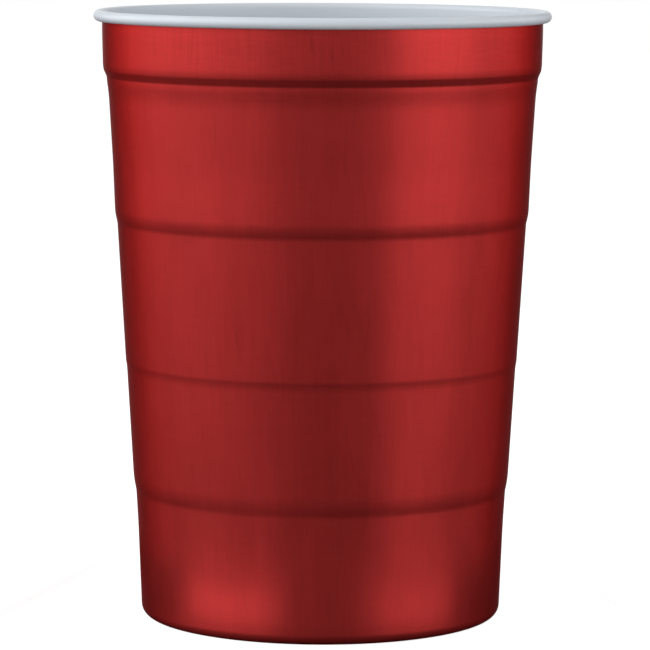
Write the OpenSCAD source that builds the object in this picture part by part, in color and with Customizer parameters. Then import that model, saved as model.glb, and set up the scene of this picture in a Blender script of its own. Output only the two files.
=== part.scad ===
// Steel party cup: one drawn sheet, stepped and tapered, with a rolled rim.
// Red lacquer outside, pale enamel inside and over the rolled rim.
// Millimetres. The origin is the middle of the base on the table, +Z up.

/* [Overall] */
// Height from the table to the top of the rolled rim
cup_h = 118; // [105:0.5:135]
// Diameter over the rolled rim
rim_d = 88.5; // [84:0.5:98]
// Diameter at which the wall, run on down, would meet the table
base_d = 70; // [62:0.5:76]
// Thickness of the sheet with its coats
wall_t = 0.5; // [0.3:0.05:0.8]

/* [Rolled rim] */
// Diameter of the roll of sheet at the rim
bead_d = 2.15; // [1.8:0.05:3.2]
// Gap between the rolled-in edge of the sheet and the wall
bead_gap = 0.4; // [0.1:0.05:0.9]
// Height of the upright neck below the middle of the roll
neck_h = 3; // [1:0.25:6]

/* [Collar] */
// Height of the collar, from the top of the rim to its lower edge
collar_h = 10.6; // [9:0.1:18]
// Lean of the collar's wall from upright, in degrees
collar_taper = 1.25; // [0:0.05:3]
// Height of the gentle lip at the top of the collar's ledge
collar_lip_h = 0.9; // [0.4:0.1:2]
// How far the wall comes in along the lip
collar_lip_step = 0.09; // [0.02:0.01:0.3]
// Height of the steep ledge below the lip
collar_ledge_h = 1.3; // [0.8:0.1:4]
// How far the wall comes in at the collar's ledge
collar_step = 0.5; // [0.2:0.02:1.2]
// Inside radius of the turn between the lip and the ledge
collar_edge_r = 3; // [1:0.5:6]
// Radius of the hollow turn at the foot of the ledge
hollow_r = 3; // [1:0.5:8]
// Height of the strip of wall between the ledge and the flare
hollow_h = 0.8; // [0.4:0.1:2]
// Height of the flare that leads from the strip into the wall
flare_h = 2.6; // [2:0.1:8]
// How far the wall comes in along the flare
flare_step = 0.2; // [0.02:0.01:0.4]
// Radius of the gentle bends at the foot of the neck and at both ends of the flare
gentle_r = 40; // [10:5:80]

/* [Upper ledge] */
// Height of the upper edge of the ledge's lip above the table
upper_z = 79.4; // [70:0.1:86]
// Height of the gentle lip at the top of the ledge
upper_lip_h = 1.2; // [0.4:0.1:3]
// How far the wall comes in along the lip
upper_lip_step = 0.08; // [0.02:0.01:0.3]
// Height of the steeper ledge below the lip
upper_ledge_h = 1.2; // [0.8:0.1:4]
// How far the wall comes in at the ledge
upper_step = 0.24; // [0.05:0.01:0.8]
// Height of the steeper skirt above the ledge
upper_skirt_h = 9; // [2:0.1:12]

/* [Middle ledge] */
// Height of the ledge's upper edge above the table
middle_z = 50.1; // [42:0.1:58]
// Height of the ledge
middle_ledge_h = 1.1; // [0.8:0.1:4]
// How far the wall comes in at the ledge
middle_step = 0.14; // [0.05:0.01:0.8]

/* [Lower ledge] */
// Height of the upper edge of the ledge's lip above the table
lower_z = 27.6; // [25:0.1:34]
// Height of the gentle lip at the top of the ledge
lower_lip_h = 1.6; // [0.4:0.1:3]
// How far the wall comes in along the lip
lower_lip_step = 0.11; // [0.02:0.01:0.3]
// Height of the steeper ledge below the lip
lower_ledge_h = 1.3; // [0.8:0.1:4]
// How far the wall comes in at the ledge
lower_step = 0.22; // [0.05:0.01:0.8]

/* [Wall] */
// Lean of the steeper skirts from upright, in degrees
skirt_taper = 2.3; // [1:0.1:3]
// Inside radius of the turns over the lips, and of the hollow below the middle ledge
lip_r = 20; // [5:1:40]
// Inside radius of the other turns at the three lower ledges
ledge_r = 8; // [2:0.5:15]
// Radius of the bend where a skirt begins
skirt_r = 200; // [50:10:300]

/* [Base] */
// Height of the steeper skirt above the table
base_skirt_h = 18; // [8:0.5:18]
// Inside radius of the corner between wall and base
corner_r = 1.6; // [0.8:0.1:5]
// Width of the flat ring that the cup stands on
foot_w = 3; // [1.5:0.1:6]
// Height of the recessed middle of the base above the table
recess_h = 1.5; // [1:0.1:3]
// Slope of the recess's edge from level, in degrees
recess_slope = 50; // [30:5:80]
// Inside radius of the two bends at the recess's edge
recess_r = 0.6; // [0.3:0.1:1.5]

/* [Hidden] */

lacquer = "#A3262A";
enamel = "#CBD1D9";

$fn = 180;
bend_step = 9;       // most degrees that one straight facet of a bend turns through
least_steps = 3;     // least facets of a bend
least_turn = 0.01;   // least turn that gets a bend, in degrees
fillet_share = 0.49; // most of a straight that the bend at one end may use up
mouth_clear = 1;     // the cavity is cut this far past the middle of the roll

bead_r = bead_d / 2;
roll_z = cup_h - bead_r;              // middle of the roll
roll_r = rim_d / 2 - bead_r;
neck_r = rim_d / 2 - bead_d + wall_t; // outside of the wall below the roll
collar_z = cup_h - collar_h;
collar_wall_h = roll_z - neck_h - collar_z;
flare_z = collar_z - collar_lip_h - collar_ledge_h - hollow_h - flare_h; // foot of the flare

// The sheet is rolled on until its edge is the gap away from the wall
bead_turn = 180 + acos((neck_r + bead_gap - roll_r) / bead_r);

// Lean of the plain bands: what the collar, steps and skirts leave of the fall
// from neck to base, shared over the height that is left
collar_fall = collar_wall_h * tan(collar_taper);
skirt_fall = (upper_skirt_h + base_skirt_h) * tan(skirt_taper);
lip_fall = collar_lip_step + upper_lip_step + lower_lip_step;
step_fall = collar_step + flare_step + upper_step + middle_step + lower_step;
band_slope = (neck_r - base_d / 2 - collar_fall - skirt_fall - lip_fall - step_fall)
    / (collar_z - upper_skirt_h - base_skirt_h);

// One stretch of the wall, going down: how far it comes in, how far it drops,
// and the inside radius of the bend at its foot
function band(h, bend_r) = [h * band_slope, h, bend_r];
function skirt(h, bend_r) = [h * tan(skirt_taper), h, bend_r];
function ledge(step, h, bend_r) = [step + h * band_slope, h, bend_r];

wall_stretches = [
    [0, neck_h, gentle_r],
    [collar_fall, collar_wall_h, lip_r],
    ledge(collar_lip_step, collar_lip_h, collar_edge_r),
    ledge(collar_step, collar_ledge_h, hollow_r),
    band(hollow_h, gentle_r),
    ledge(flare_step, flare_h, gentle_r),
    band(flare_z - upper_z - upper_skirt_h, skirt_r),
    skirt(upper_skirt_h, lip_r),
    ledge(upper_lip_step, upper_lip_h, lip_r),
    ledge(upper_step, upper_ledge_h, ledge_r),
    band(upper_z - upper_lip_h - upper_ledge_h - middle_z, ledge_r),
    ledge(middle_step, middle_ledge_h, lip_r),
    band(middle_z - middle_ledge_h - lower_z, lip_r),
    ledge(lower_lip_step, lower_lip_h, lip_r),
    ledge(lower_step, lower_ledge_h, ledge_r),
    band(lower_z - lower_lip_h - lower_ledge_h - base_skirt_h, skirt_r),
    skirt(base_skirt_h, corner_r)
];

function sum(v, n, i = 0) = i < n ? v[i] + sum(v, n, i + 1) : 0 * v[0];

// The foot ring lies between the wall's corner and the recess's edge
corner_run = (corner_r + wall_t) * tan((90 - skirt_taper) / 2);
recess_run = (recess_r + wall_t) * tan(recess_slope / 2);
foot_in_r = base_d / 2 - corner_run - foot_w - recess_run;
panel_r = foot_in_r - recess_h / tan(recess_slope);

// Corners of the outside, from the roll down the wall and in under the base,
// each with the inside radius of its bend
corners = concat(
    [[neck_r, roll_z, 0]],
    [for (i = [0 : len(wall_stretches) - 1])
        let (run = sum(wall_stretches, i + 1))
        [neck_r - run[0], roll_z - run[1], wall_stretches[i][2]]],
    [[foot_in_r, 0, recess_r], [panel_r, recess_h, recess_r], [0, recess_h, 0]]
);

function xy(p) = [p[0], p[1]];
function unit(v) = v / norm(v);
function left_of(v) = [-v[1], v[0]];
function turned(v, a) = [v[0] * cos(a) - v[1] * sin(a), v[0] * sin(a) + v[1] * cos(a)];
function reversed(v) = [for (i = [len(v) - 1 : -1 : 0]) v[i]];

// The way out of the sheet, square to a straight of the path
function way_out(a, b) = left_of(unit(xy(b) - xy(a)));

// How far the path turns at corner b, in degrees, positive to the left
function turn_at(a, b, c) =
    let (u = way_out(a, b), v = way_out(b, c))
    asin(u[0] * v[1] - u[1] * v[0]);

// The bend at corner b, as pairs of a point and the way out. A bend that turns
// right has the sheet's thickness inside the outside face, so its radius grows.
function bend(a, b, c) =
    let (
        turn = turn_at(a, b, c),
        side = sign(turn),
        half = tan(abs(turn) / 2),
        room = fillet_share * min(norm(xy(b) - xy(a)), norm(xy(c) - xy(b))),
        run = min((b[2] + (side < 0 ? wall_t : 0)) * half, room),
        r = run / half,
        n = way_out(a, b),
        centre = xy(b) - run * unit(xy(b) - xy(a)) + side * r * n,
        steps = max(least_steps, ceil(abs(turn) / bend_step))
    )
    [for (i = [0 : steps])
        let (m = turned(n, turn * i / steps))
        [centre - side * r * m, m]];

// A corner that does not turn is left as the point that it is
function corner(a, b, c) =
    abs(turn_at(a, b, c)) < least_turn ? [[xy(b), way_out(a, b)]] : bend(a, b, c);

function bent(c) =
    let (last = len(c) - 1)
    concat(
        [[xy(c[0]), way_out(c[0], c[1])]],
        [for (i = [1 : last - 1]) each corner(c[i - 1], c[i], c[i + 1])],
        [[xy(c[last]), way_out(c[last - 1], c[last])]]
    );

outside = bent(corners);

// The sheet's face at a depth below the outside
function face(depth) = [for (p = outside) p[0] - depth * p[1]];

function arc(centre, r, a0, a1, steps) =
    [for (i = [0 : steps])
        let (a = a0 + (a1 - a0) * i / steps)
        centre + r * [cos(a), sin(a)]];

// All that lies inside the outside face, up to the middle of the roll
module outer_form() {
    rotate_extrude()
        polygon(concat([[0, roll_z]], face(0)));
}

// The space that the cup holds, run on up through the mouth
module cavity() {
    rotate_extrude()
        polygon(concat(
            [[0, roll_z + mouth_clear], [neck_r - wall_t, roll_z + mouth_clear]],
            face(wall_t)
        ));
}

// The sheet rolled outwards and under, hollow, its edge just short of the wall
module rolled_rim() {
    centre = [roll_r, roll_z];
    steps = ceil(bead_turn / bend_step);
    rotate_extrude()
        polygon(concat(
            arc(centre, bead_r, 180, 180 - bead_turn, steps),
            reversed(arc(centre, bead_r - wall_t, 180, 180 - bead_turn, steps))
        ));
}

module cup() {
    difference() {
        color(lacquer) outer_form();
        color(enamel) cavity();
    }
    color(enamel) rolled_rim();
}

cup();
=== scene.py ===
"""The looks of a steel party cup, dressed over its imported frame.

A Blender add-on in layout, run as a script. Metres throughout, in the frame's axes.
"""

import math

import bpy
from bpy.props import FloatProperty, FloatVectorProperty, IntProperty, PointerProperty
from mathutils import Matrix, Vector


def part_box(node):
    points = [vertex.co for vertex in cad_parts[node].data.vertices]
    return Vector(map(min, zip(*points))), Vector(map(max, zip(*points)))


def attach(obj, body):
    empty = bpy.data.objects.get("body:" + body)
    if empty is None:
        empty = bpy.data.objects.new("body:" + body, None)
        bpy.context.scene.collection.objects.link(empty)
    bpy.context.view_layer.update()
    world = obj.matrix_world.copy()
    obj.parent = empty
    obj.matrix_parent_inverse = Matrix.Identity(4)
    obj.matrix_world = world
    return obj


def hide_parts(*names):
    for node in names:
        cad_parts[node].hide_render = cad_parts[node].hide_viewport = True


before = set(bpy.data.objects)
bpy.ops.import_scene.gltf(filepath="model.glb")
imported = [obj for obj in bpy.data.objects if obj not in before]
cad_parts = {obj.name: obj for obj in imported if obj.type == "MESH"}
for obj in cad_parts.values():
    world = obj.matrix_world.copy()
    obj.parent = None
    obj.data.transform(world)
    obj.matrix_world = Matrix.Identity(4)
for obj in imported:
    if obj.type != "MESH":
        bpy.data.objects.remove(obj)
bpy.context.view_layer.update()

bl_info = {
    "name": "Steel party cup",
    "version": (1, 0, 0),
    "blender": (4, 5, 0),
    "location": "3D View > Sidebar > Cup",
    "description": "Builds a lacquered steel party cup with a rolled rim, and its stage",
    "category": "Add Mesh",
}

MM = 0.001
CUP_LOW, CUP_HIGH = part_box("cup")
RIM_R = min(-CUP_LOW.x, CUP_HIGH.x, -CUP_LOW.y, CUP_HIGH.y)

# Attributes on the cup's mesh, and how finely the sheet's outline is cut
SHEET_RUN = "sheet_run"
LINING = "lining"
ROLL_STEPS = 40
WALL_BEND_STEPS = 4
BASE_BEND_STEPS = 9
BASE_BENDS = 4
SHARP_EDGE = math.radians(40)
WELD = 0.001 * MM

# Marks in the two coats, each as (width round the rim, length along the sheet)
LACQUER_CLOUD = (6 * MM, 18 * MM)
SCUFF = (0.7 * MM, 22 * MM)
ENAMEL_FLOW = (9 * MM, 1.2 * MM)
ENAMEL_CLOUD = (14 * MM, 20 * MM)
ENAMEL_SKIN = (0.9 * MM, 0.9 * MM)
GRAIN_ROUGHNESS = 0.55

# The lacquer's level lines: their width in draw line pitches, and their strength where
# that of the draw lines is 1
LEVEL_STRETCH = 12
LEVEL_STRENGTH = 0.6
# The draw lines get stronger over this height above the collar's lower edge
COLLAR_BLEND = 2 * MM
# Scuffs lean by these angles, and show where their noise is above the first share
SCUFF_ANGLES = (math.radians(9), math.radians(-6), math.radians(17))
SCUFF_FROM = 0.68
SCUFF_BLEND = 0.08
# Turn of the stretched reflections, in full turns, so that they are drawn out up and down
UPRIGHT_TURN = 0.25

# How much each mark changes a coat's colour, its roughness and the height of its bump
LACQUER_CLOUD_COLOUR = 0.18
LACQUER_CLOUD_ROUGH = 0.05
WEAVE_ROUGH = 0.06
SCUFF_COLOUR = 0.09
SCUFF_ROUGH = 0.04
SCUFF_BUMP = 0.5
FLOW_COLOUR = 0.04
FLOW_ROUGH = 0.06
FLOW_BUMP = 0.5
ENAMEL_CLOUD_COLOUR = 0.05
ENAMEL_CLOUD_ROUGH = 0.12

# Soft boxes, each as (distance from the cup, degrees wide, lower edge, upper edge)
LOW_BOX = (0.8, 20, 0.0, 0.35)
HIGH_BOX = (0.8, 40, 0.35, 1.1)
FOOT_BOX = (0.05, 52, 0.0, 0.006)
# Cards and flags, each as (distance from the cup, degrees wide, height)
FRONT_CARD = (1.0, 64, 1.2)
LEFT_CARD = (1.0, 26, 1.2)
RIGHT_CARD = (1.0, 30, 1.2)
FOOT_FLAG = (0.06, 64, 0.007)
# What the floor gives off towards the camera, where 1 is white, and its outline's corners
FLOOR_GLOW = 0.87
FLOOR_SIDES = 96

CAMERA_PLACE = (0.705 * MM, -739.7 * MM, 142.7 * MM)
CAMERA_DOWN = math.radians(6.63)
CAMERA_ROLL = math.radians(0.24)
# Width of the camera's sensor in millimetres, and the nearest distance that it sees
SENSOR_W = 36.0
CLIP_START = 0.05


def length(name, millimetres, description):
    """A size of the cup, given in millimetres and kept in metres."""
    return FloatProperty(
        name=name,
        description=description,
        default=millimetres * MM,
        min=0.0,
        unit="LENGTH",
        subtype="DISTANCE",
        precision=5,
    )


def lean(name, degrees, description):
    """An angle of the cup, given in degrees."""
    return FloatProperty(
        name=name,
        description=description,
        default=math.radians(degrees),
        min=0.0,
        max=math.radians(89),
        unit="ROTATION",
        subtype="ANGLE",
    )


def share(name, value, description, top=1.0):
    """A plain number from nothing up to top."""
    return FloatProperty(name=name, description=description, default=value, min=0.0, max=top)


def count(name, value, description):
    """A whole number from 1 up."""
    return IntProperty(name=name, description=description, default=value, min=1)


def colour(name, value, description):
    """A colour in linear red, green and blue."""
    return FloatVectorProperty(
        name=name,
        description=description,
        default=value,
        size=3,
        min=0.0,
        max=1.0,
        subtype="COLOR",
    )


class CupSizes(bpy.types.PropertyGroup):
    """The driving sizes of the drawn cup."""

    cup_h: length("Cup height", CUP_HIGH.z / MM, "From the table to the top of the rolled rim")
    rim_d: length("Rim diameter", 2 * RIM_R / MM, "Over the rolled rim")
    base_d: length("Base diameter", 70, "Where the wall, run on down, would meet the table")
    sheet: length("Sheet thickness", 0.5, "Steel with its coats")
    bead_d: length("Roll diameter", 2.15, "The roll of sheet at the rim")
    bead_gap: length("Roll gap", 0.4, "Between the rolled-in edge and the wall")
    neck_h: length("Neck height", 3, "Upright neck below the middle of the roll")
    collar_h: length("Collar height", 10.6, "From the top of the rim to the collar's lower edge")
    collar_taper: lean("Collar lean", 1.25, "Of the collar's wall from upright")
    collar_lip_h: length("Collar lip height", 0.9, "The gentle lip at the top of the ledge")
    collar_lip_step: length("Collar lip step", 0.09, "How far the wall comes in along the lip")
    collar_ledge_h: length("Collar ledge height", 1.3, "The steep ledge below the lip")
    collar_step: length("Collar step", 0.5, "How far the wall comes in at the collar's ledge")
    collar_edge_r: length("Collar edge radius", 3, "Inside radius between lip and ledge")
    hollow_r: length("Hollow radius", 3, "The hollow turn at the foot of the ledge")
    hollow_h: length("Hollow height", 0.8, "The strip of wall between the ledge and the flare")
    flare_h: length("Flare height", 2.6, "The flare from the strip into the wall")
    flare_step: length("Flare step", 0.2, "How far the wall comes in along the flare")
    gentle_r: length("Gentle radius", 40, "The bends at the neck's foot and at the flare's ends")
    upper_z: length("Upper ledge", 79.4, "The upper edge of its lip above the table")
    upper_lip_h: length("Upper lip height", 1.2, "The gentle lip at the top of the ledge")
    upper_lip_step: length("Upper lip step", 0.08, "How far the wall comes in along the lip")
    upper_ledge_h: length("Upper ledge height", 1.2, "The steeper ledge below the lip")
    upper_step: length("Upper step", 0.24, "How far the wall comes in at the ledge")
    upper_skirt_h: length("Upper skirt height", 9, "The steeper skirt above the ledge")
    middle_z: length("Middle ledge", 50.1, "Its upper edge above the table")
    middle_ledge_h: length("Middle ledge height", 1.1, "Height of the ledge")
    middle_step: length("Middle step", 0.14, "How far the wall comes in at the ledge")
    lower_z: length("Lower ledge", 27.6, "The upper edge of its lip above the table")
    lower_lip_h: length("Lower lip height", 1.6, "The gentle lip at the top of the ledge")
    lower_lip_step: length("Lower lip step", 0.11, "How far the wall comes in along the lip")
    lower_ledge_h: length("Lower ledge height", 1.3, "The steeper ledge below the lip")
    lower_step: length("Lower step", 0.22, "How far the wall comes in at the ledge")
    skirt_taper: lean("Skirt lean", 2.3, "Of the steeper skirts from upright")
    lip_r: length("Lip radius", 20, "The turns over the lips and the middle ledge's hollow")
    ledge_r: length("Ledge radius", 8, "The other turns at the three lower ledges")
    skirt_r: length("Skirt radius", 200, "The bend where a skirt begins")
    base_skirt_h: length("Base skirt height", 18, "The steeper skirt above the table")
    corner_r: length("Corner radius", 1.6, "Inside radius between wall and base")
    foot_w: length("Foot width", 3, "The flat ring that the cup stands on")
    recess_h: length("Recess height", 1.5, "The recessed middle of the base above the table")
    recess_slope: lean("Recess slope", 50, "Of the recess's edge from level")
    recess_r: length("Recess radius", 0.6, "Inside radius of the bends at the recess's edge")
    facet: length("Facet height", 2.5, "Tallest facet on a straight of the wall")
    segments: count("Segments", 216, "Facets round the cup")


class CupFinish(bpy.types.PropertyGroup):
    """The colours and the grain of the two coats."""

    lacquer: colour("Lacquer", (0.34, 0.0250, 0.0237), "Red lacquer over drawn steel")
    lacquer_edge: colour("Lacquer at the edge", (0.48, 0.40, 0.40), "Its tint at a glancing angle")
    lacquer_metal: share("Lacquer metal", 0.8, "How far the steel shines through the lacquer")
    lacquer_rough: share("Lacquer roughness", 0.36, "Blur of the lacquer's reflections")
    lacquer_stretch: share("Lacquer stretch", 0.4, "Drawing out of the reflections up and down")
    draw_pitch: length("Draw line pitch", 0.42, "Spacing of the fine upright draw lines")
    draw_length: length("Draw line length", 12, "Length of the fine upright draw lines")
    draw_depth: length("Draw line depth", 0.003, "Height of the fine lines")
    draw_contrast: share("Draw line contrast", 0.23, "How much the fine lines show in the colour")
    collar_grain: share("Collar grain", 1.0, "How much more the draw lines show on it", 5.0)
    enamel: colour("Enamel", (0.62, 0.665, 0.715), "Pale coat inside and over the rim")
    enamel_rough: share("Enamel roughness", 0.4, "Blur of the enamel's reflections")
    skin_depth: length("Enamel skin", 0.002, "Height of the enamel's fine skin")


class StageSettings(bpy.types.PropertyGroup):
    """The floor, the lamps and the camera."""

    floor_r: length("Floor radius", 2500, "Round pale floor under the cup")
    lens: length("Lens", 211.4, "Focal length on a sensor 36 mm wide")
    room: share("Room light", 0.45, "Level of the light from all round")
    rear_left: share("Rear left box", 0.8, "Brightness of the low box, where 1 is white", 20.0)
    left: share("Left boxes", 1.8, "Brightness of the low boxes, where 1 is white", 20.0)
    front_left: share("Front left boxes", 1.2, "Brightness of the low boxes, where 1 is white", 20.0)
    front: share("Front boxes", 0.75, "Brightness of the low boxes, where 1 is white", 20.0)
    front_right: share("Front right box", 0.95, "Brightness of the low box, where 1 is white", 20.0)
    right: share("Right boxes", 2.55, "Brightness of the low boxes, where 1 is white", 20.0)
    rear_right: share("Rear right boxes", 1.3, "Brightness of the low boxes, where 1 is white", 20.0)
    far_right: share("Far right box", 0.6, "Brightness of the low box, where 1 is white", 20.0)
    high_left: share("High left boxes", 1.8, "Brightness of the high boxes, where 1 is white", 20.0)
    high_front: share("High front box", 1.3, "Brightness of the high box, where 1 is white", 20.0)
    left_foot: share("Left foot box", 1.2, "Brightness of the small box by the foot", 20.0)
    right_foot: share("Right foot box", 0.55, "Brightness of the small box by the foot", 20.0)
    front_shade: share("Front card shade", 0.6, "Grey of the card behind the camera")
    rear_shade: share("Rear card shade", 0.3, "Grey of the two cards behind the cup")
    flag_shade: share("Flag shade", 0.02, "Grey of the two low flags by the foot")
    floor_shade: share("Floor shade", 0.08, "Grey of the floor's satin paint in reflections")
    floor_paint: share("Floor paint", 0.5, "Grey of the floor's paint as the camera sees it")
    floor_rough: share("Floor roughness", 0.35, "Blur of what the floor's satin coat mirrors")


class Value:
    """A socket in a Python expression: each operator adds the Math node it stands for."""

    def __init__(self, graph, socket):
        self.graph = graph
        self.socket = socket

    def maths(self, operation, *operands):
        return self.graph.add("ShaderNodeMath", {"operation": operation}, dict(enumerate(operands)))

    def __add__(self, other):
        return self.maths("ADD", self, other)

    def __radd__(self, other):
        return self.maths("ADD", other, self)

    def __sub__(self, other):
        return self.maths("SUBTRACT", self, other)

    def __rsub__(self, other):
        return self.maths("SUBTRACT", other, self)

    def __mul__(self, other):
        return self.maths("MULTIPLY", self, other)

    def __rmul__(self, other):
        return self.maths("MULTIPLY", other, self)

    def __truediv__(self, other):
        return self.maths("DIVIDE", self, other)

    def __mod__(self, other):
        return self.maths("FLOORED_MODULO", self, other)

    def __lt__(self, other):
        return self.maths("LESS_THAN", self, other)

    def __gt__(self, other):
        return self.maths("GREATER_THAN", self, other)

    def floor(self):
        return self.maths("FLOOR", self)

    def sin(self):
        return self.maths("SINE", self)

    def cos(self):
        return self.maths("COSINE", self)

    def tan(self):
        return self.maths("TANGENT", self)

    def acos(self):
        return self.maths("ARCCOSINE", self)

    def most(self, other):
        return self.maths("MAXIMUM", self, other)

    def clamped(self):
        return self.graph.add("ShaderNodeClamp", None, {"Value": self})


class Graph:
    """A node tree that is filled by calls of one method."""

    def __init__(self, tree):
        self.tree = tree

    def add(self, kind, settings=None, sockets=None, out=0):
        """Adds a node. Its settings are set first, then its sockets get values or links.

        A setting with a dot in its name, such as color_ramp.interpolation, is set on
        what the node holds. out names or numbers the output that is handed back.
        """
        node = self.tree.nodes.new(kind)
        for name, value in (settings or {}).items():
            holder = node
            *path, last = name.split(".")
            for step in path:
                holder = getattr(holder, step)
            setattr(holder, last, value)
        for key, value in (sockets or {}).items():
            self.feed(node.inputs[key], value)
        if not node.outputs:
            return node
        return Value(self, node.outputs[out])

    def feed(self, socket, value):
        if isinstance(value, Value):
            self.tree.links.new(value.socket, socket)
        elif value is not None:
            socket.default_value = value

    def output(self, value, name):
        """Another output of the node that value comes from."""
        return Value(self, value.socket.node.outputs[name])

    def vector(self, x, y, z):
        return self.add("ShaderNodeCombineXYZ", None, {"X": x, "Y": y, "Z": z})

    def split(self, vector):
        """The X, Y and Z of a vector."""
        parts = self.add("ShaderNodeSeparateXYZ", None, {"Vector": vector})
        return [self.output(parts, name) for name in "XYZ"]

    def switch(self, index, kind, items):
        """The item of a list that stands at index."""
        node = self.tree.nodes.new("GeometryNodeIndexSwitch")
        node.data_type = kind
        while len(node.index_switch_items) < len(items):
            node.index_switch_items.new()
        self.feed(node.inputs[0], index)
        for socket, item in zip(node.inputs[1:], items):
            self.feed(socket, item)
        return Value(self, node.outputs[0])


def sheet_corners(size):
    """The corners of the sheet's lacquered face, from the middle of the base up the wall.

    Each is (radius, height, radius of its bend). size holds the tree's named inputs.
    """
    bead_r = size["bead_d"] / 2
    roll_z = size["cup_h"] - bead_r
    neck_r = size["rim_d"] / 2 - size["bead_d"] + size["sheet"]
    collar_z = size["cup_h"] - size["collar_h"]
    collar_wall_h = roll_z - size["neck_h"] - collar_z
    collar_foot_z = collar_z - size["collar_lip_h"] - size["collar_ledge_h"]
    flare_z = collar_foot_z - size["hollow_h"] - size["flare_h"]
    skirt_slope = size["skirt_taper"].tan()
    skirts_h = size["upper_skirt_h"] + size["base_skirt_h"]

    collar_fall = collar_wall_h * size["collar_taper"].tan()
    lip_fall = size["collar_lip_step"] + size["upper_lip_step"] + size["lower_lip_step"]
    step_fall = size["collar_step"] + size["flare_step"]
    step_fall = step_fall + size["upper_step"] + size["middle_step"] + size["lower_step"]
    fall = neck_r - size["base_d"] / 2 - collar_fall - skirts_h * skirt_slope
    fall = fall - lip_fall - step_fall
    band_slope = fall / (collar_z - skirts_h)

    def over(radius):
        """The bend of a corner that stands out, with the sheet inside it."""
        return radius + size["sheet"]

    def band(h, bend):
        return h * band_slope, h, bend

    def skirt(h, bend):
        return h * skirt_slope, h, bend

    def ledge(step, h, bend):
        return step + h * band_slope, h, bend

    upper_foot_z = size["upper_z"] - size["upper_lip_h"] - size["upper_ledge_h"]
    middle_foot_z = size["middle_z"] - size["middle_ledge_h"]
    lower_foot_z = size["lower_z"] - size["lower_lip_h"] - size["lower_ledge_h"]
    stretches = [
        (0.0, size["neck_h"], over(size["gentle_r"])),
        (collar_fall, collar_wall_h, over(size["lip_r"])),
        ledge(size["collar_lip_step"], size["collar_lip_h"], over(size["collar_edge_r"])),
        ledge(size["collar_step"], size["collar_ledge_h"], size["hollow_r"]),
        band(size["hollow_h"], over(size["gentle_r"])),
        ledge(size["flare_step"], size["flare_h"], size["gentle_r"]),
        band(flare_z - size["upper_z"] - size["upper_skirt_h"], size["skirt_r"]),
        skirt(size["upper_skirt_h"], over(size["lip_r"])),
        ledge(size["upper_lip_step"], size["upper_lip_h"], over(size["lip_r"])),
        ledge(size["upper_step"], size["upper_ledge_h"], size["ledge_r"]),
        band(upper_foot_z - size["middle_z"], over(size["ledge_r"])),
        ledge(size["middle_step"], size["middle_ledge_h"], size["lip_r"]),
        band(middle_foot_z - size["lower_z"], over(size["lip_r"])),
        ledge(size["lower_lip_step"], size["lower_lip_h"], over(size["lip_r"])),
        ledge(size["lower_step"], size["lower_ledge_h"], size["ledge_r"]),
        band(lower_foot_z - size["base_skirt_h"], size["skirt_r"]),
        skirt(size["base_skirt_h"], over(size["corner_r"])),
    ]
    corners = [(neck_r, roll_z, 0.0)]
    radius, height = neck_r, roll_z
    for fall_in, drop, bend in stretches:
        radius = radius - fall_in
        height = height - drop
        corners.append((radius, height, bend))

    quarter = math.pi / 2
    corner_run = over(size["corner_r"]) * ((quarter - size["skirt_taper"]) / 2).tan()
    recess_run = over(size["recess_r"]) * (size["recess_slope"] / 2).tan()
    foot_in_r = size["base_d"] / 2 - corner_run - size["foot_w"] - recess_run
    panel_r = foot_in_r - size["recess_h"] / size["recess_slope"].tan()
    corners.append((foot_in_r, 0.0, over(size["recess_r"])))
    corners.append((panel_r, size["recess_h"], size["recess_r"]))
    corners.append((0.0, size["recess_h"], 0.0))
    return corners[::-1], roll_z, neck_r


def sheet_path(graph, size):
    """The lacquered face's outline as a curve: the corners, then the roll, bends rounded."""
    corners, roll_z, neck_r = sheet_corners(size)
    bead_r = size["bead_d"] / 2
    roll_r = size["rim_d"] / 2 - bead_r
    turn = math.pi + ((neck_r + size["bead_gap"] - roll_r) / bead_r).acos()
    index = graph.add("GeometryNodeInputIndex")
    last = len(corners) - 1
    angle = math.pi - turn * (index - last) / ROLL_STEPS
    inner_r = bead_r - size["sheet"]
    on_roll = graph.vector(roll_r + inner_r * angle.cos(), 0.0, roll_z + inner_r * angle.sin())
    at_corner = graph.switch(index, "VECTOR", [graph.vector(r, 0.0, z) for r, z, _ in corners])
    bend = graph.switch(index, "FLOAT", [b for _, _, b in corners])
    past_corners = index > last
    place = graph.add(
        "GeometryNodeSwitch",
        {"input_type": "VECTOR"},
        {"Switch": past_corners, "False": at_corner, "True": on_roll},
    )
    line = graph.add("GeometryNodeMeshLine", None, {"Count": last + 1 + ROLL_STEPS})
    line = graph.add("GeometryNodeSetPosition", None, {"Geometry": line, "Position": place})
    curve = graph.add("GeometryNodeMeshToCurve", None, {"Mesh": line})
    steps = WALL_BEND_STEPS + (index < BASE_BENDS) * (BASE_BEND_STEPS - WALL_BEND_STEPS)
    curve = graph.add(
        "GeometryNodeFilletCurve",
        {"mode": "POLY"},
        {"Curve": curve, "Count": steps, "Radius": bend * (1 - past_corners), "Limit Radius": True},
    )
    here = graph.add("GeometryNodeInputPosition")
    ahead = graph.add(
        "GeometryNodeFieldAtIndex",
        {"data_type": "FLOAT_VECTOR", "domain": "POINT"},
        {"Index": index + 1, "Value": here},
    )
    gap = graph.add(
        "ShaderNodeVectorMath", {"operation": "DISTANCE"}, {0: here, 1: ahead}, out="Value"
    )
    cuts = (gap / size["facet"]).floor()
    return graph.add("GeometryNodeSubdivideCurve", None, {"Curve": curve, "Cuts": cuts})


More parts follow.
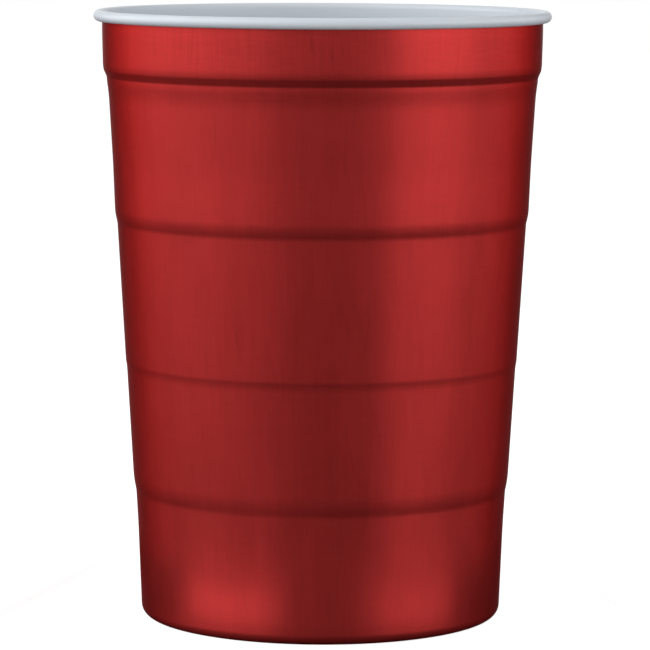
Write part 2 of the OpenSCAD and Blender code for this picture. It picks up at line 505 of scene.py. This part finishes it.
def cup_tree(materials):
    """The cup's shape: the sheet's two faces in one loop, wrapped round the axis on a grid."""
    tree = bpy.data.node_groups.new("Drawn cup", "GeometryNodeTree")
    graph = Graph(tree)
    tree.interface.new_socket("Geometry", in_out="OUTPUT", socket_type="NodeSocketGeometry")
    group_in = tree.nodes.new("NodeGroupInput")
    size = {}
    for key, prop in input_props():
        whole = prop.type == "INT"
        kind = "NodeSocketInt" if whole else "NodeSocketFloat"
        socket = tree.interface.new_socket(prop.name, in_out="INPUT", socket_type=kind)
        socket.description = prop.description
        size[key] = Value(graph, group_in.outputs[prop.name])

    path = sheet_path(graph, size)
    domain = graph.add(
        "GeometryNodeAttributeDomainSize", {"component": "CURVE"}, {"Geometry": path}
    )
    points = graph.output(domain, "Point Count")
    loop = points * 2
    grid = graph.add(
        "GeometryNodeMeshGrid",
        None,
        {"Vertices X": size["segments"] + 1, "Vertices Y": loop},
    )
    index = graph.add("GeometryNodeInputIndex")
    step = index % loop
    inside = step > points - 1
    point = step + inside * (2 * points - 1 - 2 * step)

    def along(kind, value):
        return graph.add(
            "GeometryNodeSampleIndex",
            {"data_type": kind, "domain": "POINT"},
            {"Geometry": path, "Value": value, "Index": point},
        )

    tangent = along("FLOAT_VECTOR", graph.add("GeometryNodeInputTangent"))
    position = along("FLOAT_VECTOR", graph.add("GeometryNodeInputPosition"))
    spline = graph.add("GeometryNodeSplineParameter")
    run = along("FLOAT", graph.output(spline, "Length"))
    tangent_x, _, tangent_z = graph.split(tangent)
    path_x, _, path_z = graph.split(position)
    depth = inside * size["sheet"]
    radius = path_x - depth * tangent_z
    height = path_z + depth * tangent_x
    angle = (index / loop).floor() * (2 * math.pi) / size["segments"]
    wrapped = graph.vector(radius * angle.cos(), radius * angle.sin(), height)
    mesh = graph.add("GeometryNodeSetPosition", None, {"Geometry": grid, "Position": wrapped})
    for name, kind, value in ((SHEET_RUN, "FLOAT", run), (LINING, "FLOAT", inside)):
        mesh = graph.add(
            "GeometryNodeStoreNamedAttribute",
            {"data_type": kind, "domain": "POINT"},
            {"Geometry": mesh, "Name": name, "Value": value},
        )
    mesh = graph.add("GeometryNodeMergeByDistance", None, {"Geometry": mesh, "Distance": WELD})
    mesh = graph.add("GeometryNodeSetShadeSmooth", {"domain": "FACE"}, {"Geometry": mesh})
    edge = graph.add("GeometryNodeInputMeshEdgeAngle")
    mesh = graph.add(
        "GeometryNodeSetShadeSmooth",
        {"domain": "EDGE"},
        {"Geometry": mesh, "Selection": edge > SHARP_EDGE, "Shade Smooth": False},
    )
    lining = graph.add(
        "GeometryNodeInputNamedAttribute", {"data_type": "FLOAT"}, {"Name": LINING}
    )
    mesh = graph.add("GeometryNodeRealizeInstances", None, {"Geometry": mesh})
    sides = ((materials["lacquer"], None), (materials["enamel"], lining > 0.5))
    for material, selection in sides:
        mesh = graph.add(
            "GeometryNodeSetMaterial",
            None,
            {"Geometry": mesh, "Selection": selection, "Material": material},
        )
    graph.add("NodeGroupOutput", None, {"Geometry": mesh})
    return tree


def input_props():
    """The cup's size properties with their identifiers, in the order of the class."""
    return [
        (key, CupSizes.bl_rna.properties[key])
        for key in CupSizes.__annotations__
    ]


def new_material(name):
    """An empty material, and the graph that fills it."""
    material = bpy.data.materials.new(name)
    material.use_nodes = True
    material.node_tree.nodes.clear()
    return material, Graph(material.node_tree)


def grey(level):
    """An even grey as a colour socket takes it."""
    return level, level, level, 1.0


def finish_material(graph, sockets):
    """Adds the Principled shader with its sockets, and the output."""
    shader = graph.add("ShaderNodeBsdfPrincipled", None, sockets)
    graph.add("ShaderNodeOutputMaterial", None, {"Surface": shader})


def round_the_cup(graph):
    """(unit vector away from the axis, run along the sheet): patterns on the sheet follow these."""
    place = graph.add("ShaderNodeTexCoord", out="Object")
    flat = graph.add(
        "ShaderNodeVectorMath", {"operation": "MULTIPLY"}, {0: place, 1: (1.0, 1.0, 0.0)}
    )
    away = graph.add("ShaderNodeVectorMath", {"operation": "NORMALIZE"}, {0: flat})
    run = graph.add("ShaderNodeAttribute", {"attribute_name": SHEET_RUN}, out="Fac")
    return away, run


def grain(graph, away, run, mark, detail=2.0):
    """Noise from 0 to 1. mark is (width round the rim, length along the sheet) of its marks."""
    across, along = mark
    scaled = graph.add(
        "ShaderNodeVectorMath", {"operation": "SCALE"}, {0: away, "Scale": RIM_R / across}
    )
    lift = graph.vector(0.0, 0.0, run / along)
    place = graph.add("ShaderNodeVectorMath", {"operation": "ADD"}, {0: scaled, 1: lift})
    return graph.add(
        "ShaderNodeTexNoise",
        {"noise_dimensions": "3D"},
        {"Vector": place, "Scale": 1.0, "Detail": detail, "Roughness": GRAIN_ROUGHNESS},
    )


def leaning(graph, away, run, angle):
    """away, turned on round the cup with the run, so that upright marks lean by the angle."""
    turn = run * (math.tan(angle) / RIM_R)
    return graph.add(
        "ShaderNodeVectorRotate", {"rotation_type": "Z_AXIS"}, {"Vector": away, "Angle": turn}
    )


def above(value, threshold, width):
    """0 below the threshold and 1 from width above it."""
    return ((value - threshold) / width).clamped()


def tinted(graph, colour_value, strength):
    """The colour made lighter or darker by strength, which is 1 where it stays."""
    level = graph.vector(strength, strength, strength)
    return graph.add(
        "ShaderNodeVectorMath", {"operation": "MULTIPLY"}, {0: tuple(colour_value), 1: level}
    )


def lacquer_material(finish, collar_z):
    """Clear red over drawn steel: upright draw lines, wider level lines and a few scuffs.

    The lines show more on the collar, whose lower edge is at collar_z.
    """
    material, graph = new_material("Red lacquer")
    away, run = round_the_cup(graph)
    drawn = grain(graph, away, run, (finish.draw_pitch, finish.draw_length), 3.0)
    level = grain(graph, away, run, (LEVEL_STRETCH * finish.draw_pitch, finish.draw_pitch))
    clouds = grain(graph, away, run, LACQUER_CLOUD) - 0.5
    scuffs = 0
    for angle in SCUFF_ANGLES:
        lines = grain(graph, leaning(graph, away, run, angle), run + angle, SCUFF, 1.0)
        scuffs = above(lines, SCUFF_FROM, SCUFF_BLEND) + scuffs
    _, _, height = graph.split(graph.add("ShaderNodeTexCoord", out="Object"))
    collar = above(height, collar_z, COLLAR_BLEND)
    weave = (drawn - 0.5) + (level - 0.5) * LEVEL_STRENGTH
    weave = weave * (1 + collar * finish.collar_grain)
    strength = 1 + weave * finish.draw_contrast
    strength = strength + clouds * LACQUER_CLOUD_COLOUR - scuffs * SCUFF_COLOUR
    rough = finish.lacquer_rough + weave * WEAVE_ROUGH
    rough = rough + clouds * LACQUER_CLOUD_ROUGH + scuffs * SCUFF_ROUGH
    normal = graph.add(
        "ShaderNodeBump",
        None,
        {"Distance": finish.draw_depth, "Height": weave - scuffs * SCUFF_BUMP},
    )
    finish_material(
        graph,
        {
            "Base Color": tinted(graph, finish.lacquer, strength),
            "Metallic": finish.lacquer_metal,
            "Roughness": rough,
            "Specular IOR Level": 0.0,
            "Specular Tint": (*finish.lacquer_edge, 1.0),
            "Anisotropic": finish.lacquer_stretch,
            "Anisotropic Rotation": UPRIGHT_TURN,
            "Normal": normal,
        },
    )
    return material


def enamel_material(finish):
    """Satin paint with a faint flow of the spray round the cup and a fine skin."""
    material, graph = new_material("Pale enamel")
    away, run = round_the_cup(graph)
    flow = grain(graph, away, run, ENAMEL_FLOW)
    clouds = grain(graph, away, run, ENAMEL_CLOUD) - 0.5
    skin = grain(graph, away, run, ENAMEL_SKIN)
    strength = 1 + (flow - 0.5) * FLOW_COLOUR + clouds * ENAMEL_CLOUD_COLOUR
    rough = finish.enamel_rough + clouds * ENAMEL_CLOUD_ROUGH + (flow - 0.5) * FLOW_ROUGH
    normal = graph.add(
        "ShaderNodeBump",
        None,
        {"Distance": finish.skin_depth, "Height": skin + flow * FLOW_BUMP},
    )
    finish_material(
        graph,
        {
            "Base Color": tinted(graph, finish.enamel, strength),
            "Roughness": rough,
            "Normal": normal,
        },
    )
    return material


def white_where_seen(graph, shader, white):
    """shader, or plain white for what the camera, a reflection or glass sees directly."""
    path = graph.add("ShaderNodeLightPath", out="Is Camera Ray")
    seen = path.most(graph.output(path, "Is Glossy Ray"))
    seen = seen.most(graph.output(path, "Is Transmission Ray"))
    return graph.add("ShaderNodeMixShader", None, {0: seen, 1: shader, 2: white})


def floor_material(stage):
    """Pale satin paint. The camera sees it without its sheen, and with a glow towards white."""
    material, graph = new_material("Pale floor")
    satin = graph.add(
        "ShaderNodeBsdfPrincipled",
        None,
        {"Base Color": grey(stage.floor_shade), "Roughness": stage.floor_rough},
    )
    paint = graph.add("ShaderNodeBsdfDiffuse", None, {"Color": grey(stage.floor_paint)})
    glow = graph.add("ShaderNodeEmission", None, {"Strength": FLOOR_GLOW})
    lit = graph.add("ShaderNodeAddShader", None, {0: paint, 1: glow})
    seen = graph.add("ShaderNodeLightPath", out="Is Camera Ray")
    both = graph.add("ShaderNodeMixShader", None, {0: seen, 1: satin, 2: lit})
    graph.add("ShaderNodeOutputMaterial", None, {"Surface": both})
    return material


def card_material(shade):
    """Plain matt card."""
    material, graph = new_material("Grey card")
    paint = graph.add("ShaderNodeBsdfDiffuse", None, {"Color": grey(shade)})
    graph.add("ShaderNodeOutputMaterial", None, {"Surface": paint})
    return material


def room_light(stage):
    """White behind the object, and a plain level of light from all round."""
    world = bpy.data.worlds.new("Room")
    world.use_nodes = True
    world.node_tree.nodes.clear()
    graph = Graph(world.node_tree)
    level = graph.add("ShaderNodeBackground", None, {"Color": grey(stage.room), "Strength": 1.0})
    white = graph.add("ShaderNodeBackground", None, {"Color": grey(1.0), "Strength": 1.0})
    graph.add("ShaderNodeOutputWorld", None, {"Surface": white_where_seen(graph, level, white)})
    bpy.context.scene.world = world


def round_the_table(azimuth, distance):
    """The turn that faces the cup from an azimuth, and the place there at a distance.

    0 degrees is the camera's side and 90 the right.
    """
    turn = math.radians(azimuth)
    return turn, (distance * math.sin(turn), -distance * math.cos(turn))


def soft_boxes(name, azimuths, box, strength, shape="RECTANGLE"):
    """Soft boxes that face the cup, one at each azimuth. The camera doesn't see them."""
    distance, spread, low, high = box
    for azimuth in azimuths:
        lamp = bpy.data.lights.new(name, "AREA")
        lamp.shape = shape
        lamp.size = 2 * distance * math.tan(math.radians(spread / 2))
        lamp.size_y = high - low
        lamp.energy = strength * math.pi * lamp.size * lamp.size_y
        holder = bpy.data.objects.new(name, lamp)
        turn, (x, y) = round_the_table(azimuth, distance)
        holder.location = (x, y, (low + high) / 2)
        holder.rotation_euler = (math.pi / 2, 0.0, turn)
        holder.visible_camera = False
        bpy.context.scene.collection.objects.link(holder)


def grey_card(name, azimuth, card, shade):
    """A grey card that stands facing the cup. The camera doesn't see it."""
    distance, spread, height = card
    turn, (x, y) = round_the_table(azimuth, distance)
    half = distance * math.tan(math.radians(spread / 2))
    mesh = bpy.data.meshes.new(name)
    corners = []
    for side, z in ((-half, 0.0), (half, 0.0), (half, height), (-half, height)):
        corners.append((x + side * math.cos(turn), y + side * math.sin(turn), z))
    mesh.from_pydata(corners, [], [(0, 1, 2, 3)])
    mesh.materials.append(card_material(shade))
    holder = bpy.data.objects.new(name, mesh)
    holder.visible_camera = False
    bpy.context.scene.collection.objects.link(holder)


def add_camera(stage):
    """The camera, a little above the rim and looking slightly down."""
    camera = bpy.data.cameras.new("Camera")
    camera.lens = stage.lens / MM
    camera.sensor_width = SENSOR_W
    camera.clip_start = CLIP_START
    holder = bpy.data.objects.new("Camera", camera)
    holder.location = CAMERA_PLACE
    holder.rotation_mode = "XYZ"
    pitch = Matrix.Rotation(math.pi / 2 - CAMERA_DOWN, 4, "X")
    roll = Matrix.Rotation(CAMERA_ROLL, 4, "Z")
    holder.matrix_world = Matrix.Translation(CAMERA_PLACE) @ pitch @ roll
    bpy.context.scene.collection.objects.link(holder)
    bpy.context.scene.camera = holder


class CUP_OT_drawn_cup(bpy.types.Operator):
    """Builds the drawn cup with its two coats and puts it in place of the frame's node"""

    bl_idname = "party_cup.drawn_cup"
    bl_label = "Build the cup"

    def execute(self, context):
        sizes = context.scene.cup_sizes
        finish = context.scene.cup_finish
        materials = {
            "lacquer": lacquer_material(finish, sizes.cup_h - sizes.collar_h),
            "enamel": enamel_material(finish),
        }
        tree = cup_tree(materials)
        maker = bpy.data.objects.new("cup_maker", bpy.data.meshes.new("cup_maker"))
        context.scene.collection.objects.link(maker)
        modifier = maker.modifiers.new("Drawn cup", "NODES")
        modifier.node_group = tree
        sockets = {s.name: s.identifier for s in tree.interface.items_tree}
        for key, prop in input_props():
            modifier[sockets[prop.name]] = getattr(sizes, key)
        evaluated = maker.evaluated_get(context.evaluated_depsgraph_get())
        mesh = bpy.data.meshes.new_from_object(evaluated)
        mesh.name = "drawn_cup"
        maker.modifiers.remove(modifier)
        bpy.data.objects.remove(maker)
        if not mesh.polygons:
            raise RuntimeError("the cup's tree gave no faces")
        if mesh.materials[0] is None:
            mesh.materials.pop(index=0)
        cup = bpy.data.objects.new("drawn_cup", mesh)
        context.scene.collection.objects.link(cup)
        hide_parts("cup")
        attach(cup, "root")
        return {"FINISHED"}


class CUP_OT_stage(bpy.types.Operator):
    """Sets the pale floor, the room light, the lamps, the cards and the camera"""

    bl_idname = "party_cup.stage"
    bl_label = "Set the stage"

    def execute(self, context):
        stage = context.scene.cup_stage
        bpy.ops.mesh.primitive_circle_add(
            vertices=FLOOR_SIDES, radius=stage.floor_r, fill_type="NGON", location=(0.0, 0.0, 0.0)
        )
        floor = context.object
        floor.name = "floor"
        floor.data.materials.append(floor_material(stage))
        room_light(stage)
        soft_boxes("Rear left", (-130,), LOW_BOX, stage.rear_left)
        soft_boxes("Left", (-110, -90, -70), LOW_BOX, stage.left)
        soft_boxes("Front left", (-50, -30), LOW_BOX, stage.front_left)
        soft_boxes("Front", (-10, 10), LOW_BOX, stage.front)
        soft_boxes("Front right", (30,), LOW_BOX, stage.front_right)
        soft_boxes("Right", (50, 70), LOW_BOX, stage.right)
        soft_boxes("Rear right", (90, 110), LOW_BOX, stage.rear_right)
        soft_boxes("Far right", (130,), LOW_BOX, stage.far_right)
        soft_boxes("High left", (-100, -60), HIGH_BOX, stage.high_left)
        soft_boxes("High front", (-20,), HIGH_BOX, stage.high_front)
        soft_boxes("Left foot", (-40,), FOOT_BOX, stage.left_foot, "ELLIPSE")
        soft_boxes("Right foot", (42,), FOOT_BOX, stage.right_foot, "ELLIPSE")
        grey_card("front_card", 0, FRONT_CARD, stage.front_shade)
        grey_card("left_card", -146, LEFT_CARD, stage.rear_shade)
        grey_card("right_card", 147, RIGHT_CARD, stage.rear_shade)
        grey_card("left_flag", -106, FOOT_FLAG, stage.flag_shade)
        grey_card("right_flag", 102, FOOT_FLAG, stage.flag_shade)
        add_camera(stage)
        context.scene.view_settings.view_transform = "Standard"
        return {"FINISHED"}


class CUP_PT_panel(bpy.types.Panel):
    """The cup's builders and settings"""

    bl_label = "Steel party cup"
    bl_idname = "CUP_PT_panel"
    bl_space_type = "VIEW_3D"
    bl_region_type = "UI"
    bl_category = "Cup"

    def draw(self, context):
        for kind in (CUP_OT_drawn_cup, CUP_OT_stage):
            self.layout.operator(kind.bl_idname)
        for group in (context.scene.cup_sizes, context.scene.cup_finish, context.scene.cup_stage):
            box = self.layout.box()
            for key in type(group).__annotations__:
                box.prop(group, key)


GROUPS = {"cup_sizes": CupSizes, "cup_finish": CupFinish, "cup_stage": StageSettings}
CLASSES = (*GROUPS.values(), CUP_OT_drawn_cup, CUP_OT_stage, CUP_PT_panel)


def register():
    for kind in CLASSES:
        bpy.utils.register_class(kind)
    for name, kind in GROUPS.items():
        setattr(bpy.types.Scene, name, PointerProperty(type=kind))


def unregister():
    for name in GROUPS:
        delattr(bpy.types.Scene, name)
    for kind in reversed(CLASSES):
        bpy.utils.unregister_class(kind)


def main():
    register()
    bpy.ops.party_cup.drawn_cup()
    bpy.ops.party_cup.stage()


if __name__ == "__main__":
    main()
